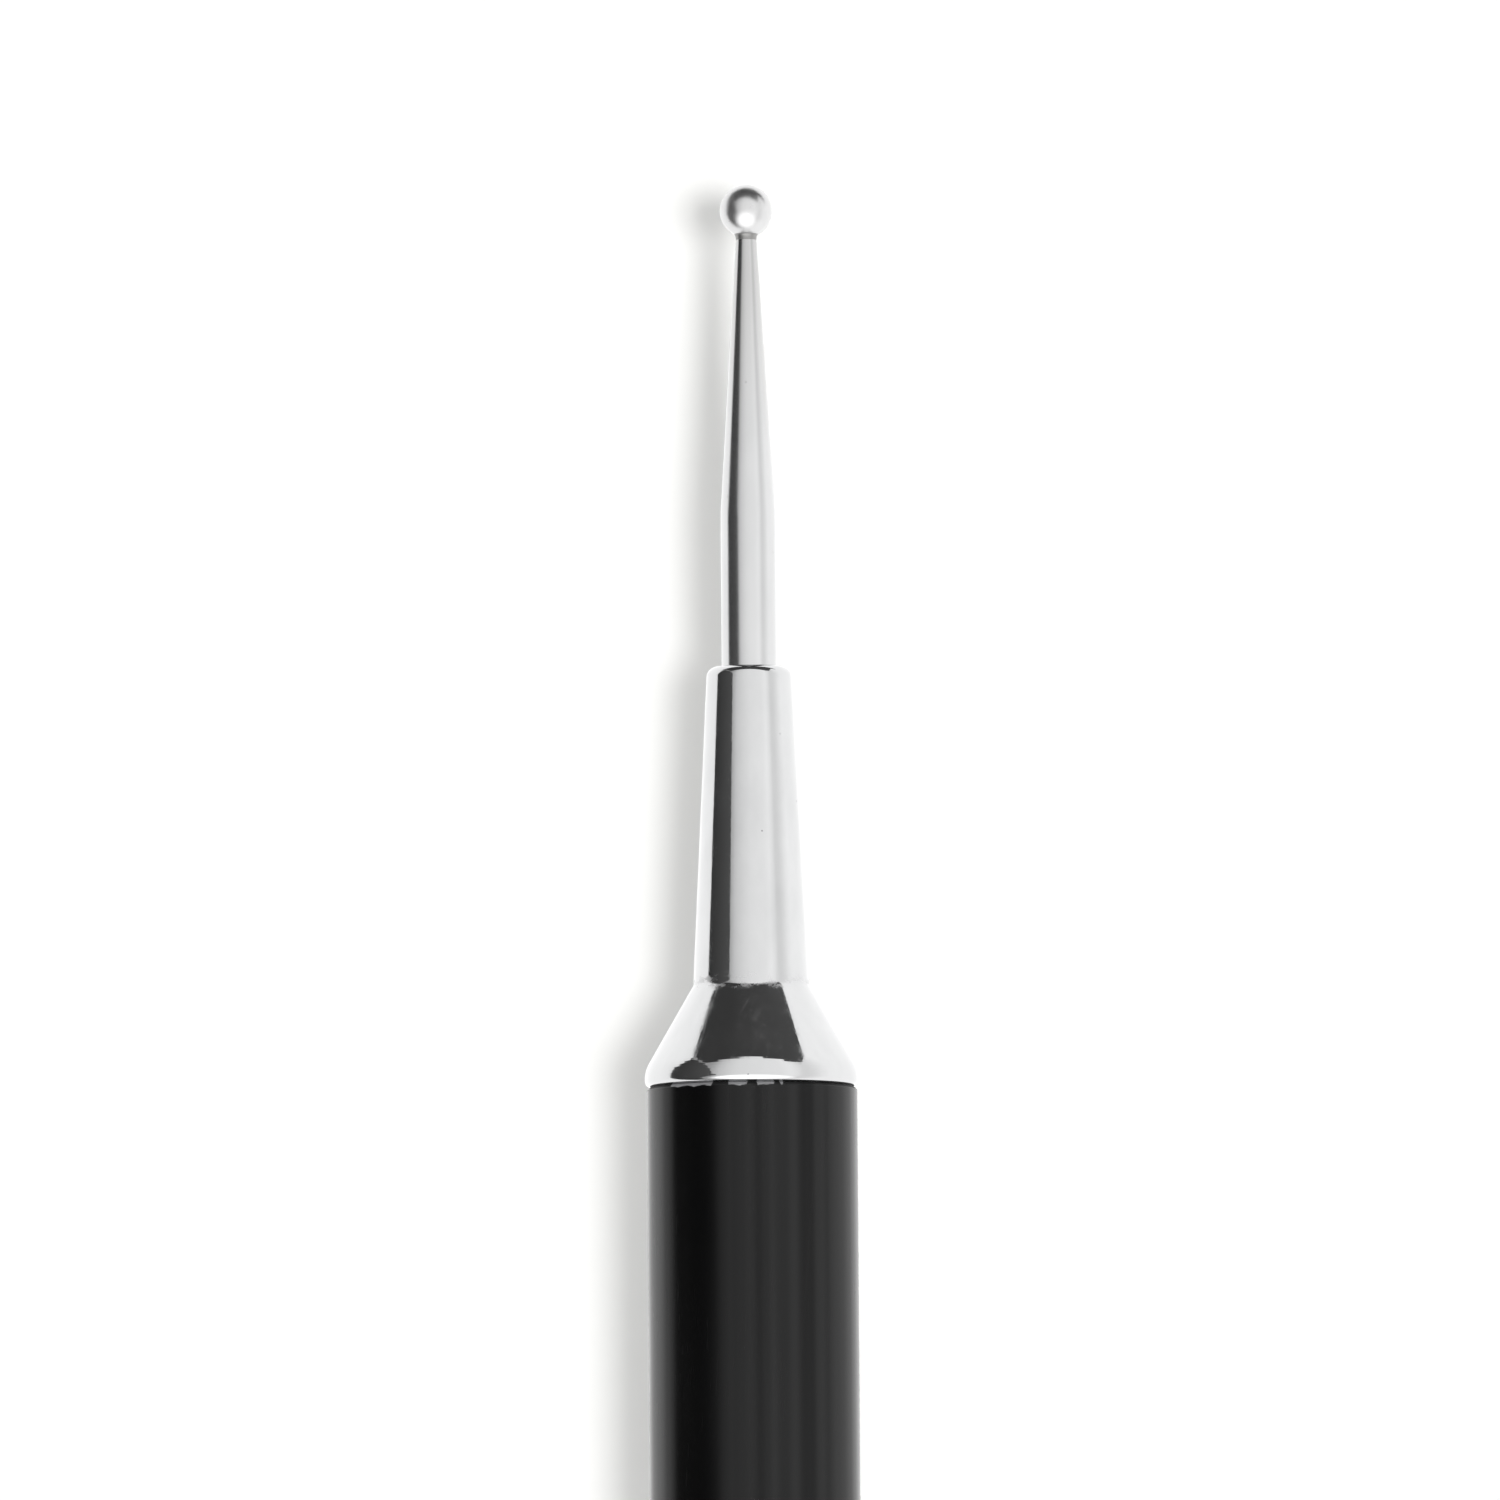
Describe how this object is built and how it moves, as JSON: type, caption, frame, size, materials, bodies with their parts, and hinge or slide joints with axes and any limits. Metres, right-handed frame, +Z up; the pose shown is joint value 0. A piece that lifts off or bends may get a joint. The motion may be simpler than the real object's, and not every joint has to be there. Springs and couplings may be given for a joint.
{
  "type": "clay shaper tool",
  "caption": "Slim double-ended clay tool: a steel ball stylus and a silicone taper point, each in a chrome nose cone on a black round handle.",
  "frame": {"origin": "centre of the bounding box in plan, on the plane that the two ferrule rims lie on", "axes": "+Y along the tool from the silicone tip to the ball, +Z up, +X across the handle"},
  "size_m": [0.0082, 0.164, 0.0082],
  "materials": {
    "chrome": "mirror-bright chrome plate over turned brass",
    "tool_steel": "polished, with faint lengthwise and turning marks",
    "solder": "silver solder, slightly duller than the steel",
    "black_lacquer": "semi-gloss black lacquer over aluminium tube",
    "bush_brass": "as turned",
    "silicone": "satin grey moulded silicone"
  },
  "bodies": {
    "root": {"stylus_ball": "tool_steel", "ball_braze": "solder", "stylus_stem": "tool_steel", "front_ferrule": "chrome", "front_bush": "bush_brass", "barrel": "black_lacquer", "rear_bush": "bush_brass", "rear_ferrule": "chrome", "shaper_pin": "tool_steel", "shaper_tip": "silicone"}
  },
  "joints": []
}
